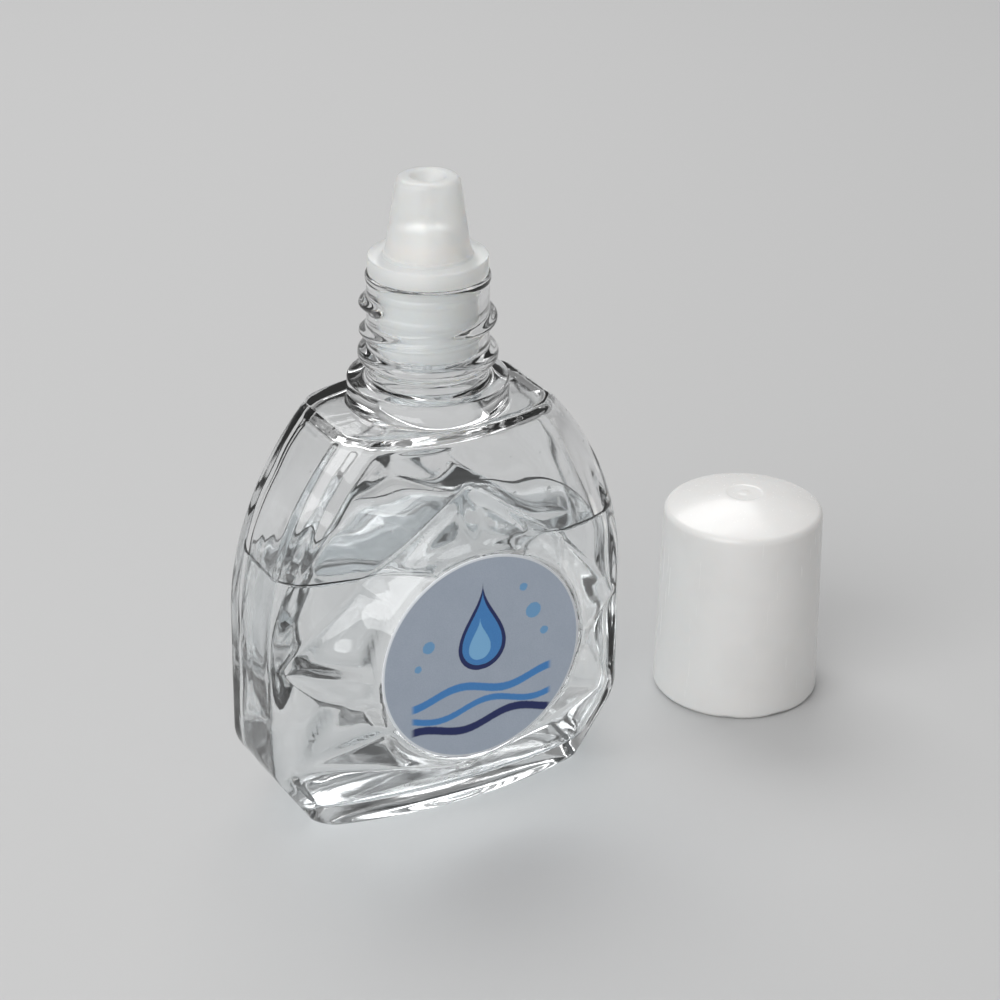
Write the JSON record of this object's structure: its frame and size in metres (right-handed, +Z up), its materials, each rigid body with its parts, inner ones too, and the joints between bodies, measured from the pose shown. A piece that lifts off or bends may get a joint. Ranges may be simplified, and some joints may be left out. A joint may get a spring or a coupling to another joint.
{
  "type": "eye drop bottle",
  "caption": "Flat clear dropper bottle with a star cut into its faces, a press-in dropper nozzle, liquid inside, a round front label and a white screw cap standing beside it.",
  "frame": {"origin": "middle of the bottle's base, on the surface it stands on", "axes": "+X across the bottle's width, towards the cap that stands beside it; -Y out of the labelled face; +Z up along the neck's axis"},
  "size_m": [0.0634, 0.0213, 0.0611],
  "materials": {
    "clear_plastic": "clear, glossy, moulded",
    "milky_plastic": "milky translucent, soft sheen",
    "clear_liquid": "clear liquid",
    "label_film": "satin printed film with a white rim",
    "white_plastic": "smooth, glossy, moulded"
  },
  "bodies": {
    "bottle": {"bottle": "clear_plastic", "dropper_nozzle": "milky_plastic", "eye_drop_liquid": "clear_liquid", "front_label": "label_film"},
    "cap": {"screw_cap": "white_plastic"}
  },
  "joints": [
    {"name": "cap_lift", "type": "slide", "parent": "bottle", "child": "cap", "axis": [0, 0, 1], "range_m": [0, 0.065]}
  ]
}
